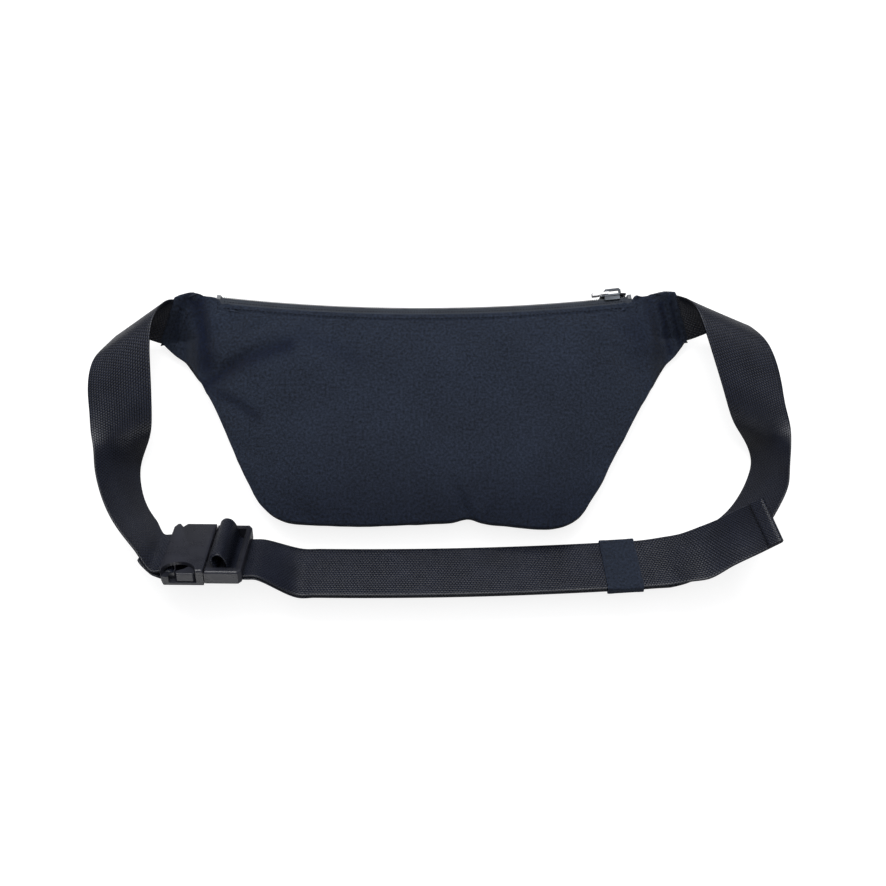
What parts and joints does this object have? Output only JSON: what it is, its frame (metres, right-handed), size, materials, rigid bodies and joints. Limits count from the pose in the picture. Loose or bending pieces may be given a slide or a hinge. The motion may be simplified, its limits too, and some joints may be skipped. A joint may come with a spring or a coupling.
{
  "type": "waist pack",
  "caption": "Flat zipped waist pack with tapered wings and an adjustable webbing belt closed by a side-release buckle.",
  "frame": {"origin": "on the flat underside of the front panel, under the middle of the bag", "axes": "the pack lies on its front face: +Z out of the back panel, +Y towards the zip, +X towards the wing that holds the adjustable belt"},
  "size_m": [0.4464, 0.2051, 0.0535],
  "materials": {
    "shell_fabric": "plain-weave polyester, slightly satin",
    "lining_fabric": "thin matt lining cloth",
    "belt_webbing": "ribbed woven webbing with a soft sheen",
    "zip_tape": "finely ribbed woven tape",
    "zip_coil": "semi-gloss coil",
    "slider_metal": "dark lacquer, worn lighter at the edges",
    "puller_metal": "satin",
    "buckle_plastic": "fine moulded texture"
  },
  "bodies": {
    "bag": {"back_panel": "shell_fabric", "front_panel": "shell_fabric", "gusset": "shell_fabric", "lining_back": "lining_fabric", "lining_front": "lining_fabric", "slip_pocket": "lining_fabric", "zip_tape_back": "zip_tape", "zip_tape_front": "zip_tape", "zip_coil_back": "zip_coil", "zip_coil_front": "zip_coil", "zip_stop_left": "zip_coil", "zip_stop_right": "zip_coil", "strap_short": "belt_webbing", "strap_long": "belt_webbing", "buckle_female": "buckle_plastic"},
    "slider": {"zip_slider": "slider_metal"},
    "puller": {"zip_puller": "puller_metal"},
    "keeper": {"strap_keeper": "shell_fabric"},
    "plug": {"buckle_male": "buckle_plastic"},
    "prong_upper": {"buckle_prong_upper": "buckle_plastic"},
    "prong_lower": {"buckle_prong_lower": "buckle_plastic"}
  },
  "joints": [
    {"name": "zip_run", "type": "hinge", "parent": "bag", "child": "slider", "pos_m": [-0.014, 1.2873, 0.015], "axis": [0, 0, 1], "range_deg": [-11.9, 0]},
    {"name": "puller_swing", "type": "hinge", "parent": "slider", "child": "puller", "pos_m": [0.10933, 0.09827, 0.015], "axis": [0, 0, -1], "range_deg": [0, 120]},
    {"name": "keeper_run", "type": "hinge", "parent": "bag", "child": "keeper", "pos_m": [-0.05, 2.7136, 0.015], "axis": [0, 0, 1], "range_deg": [-3.5, 0.1]},
    {"name": "plug_pull", "type": "slide", "parent": "bag", "child": "plug", "axis": [1, -0.0087, 0], "range_m": [0, 0.04], "deforming": ["strap_long", "buckle_prong_upper", "buckle_prong_lower"]},
    {"name": "prong_upper_squeeze", "type": "hinge", "parent": "plug", "child": "prong_upper", "pos_m": [-0.14702, -0.06552, 0.01347], "axis": [0.0067, 0.766, 0.6428], "range_deg": [0, 8], "stiffness_Nm_per_rad": 0.8},
    {"name": "prong_lower_squeeze", "type": "hinge", "parent": "plug", "child": "prong_lower", "pos_m": [-0.14718, -0.0832, 0.03453], "axis": [0.0067, 0.766, 0.6428], "range_deg": [-8, 0], "stiffness_Nm_per_rad": 0.8}
  ],
  "couplings": [
    {"joint": "prong_lower_squeeze", "follows": "prong_upper_squeeze", "ratio": -1}
  ]
}
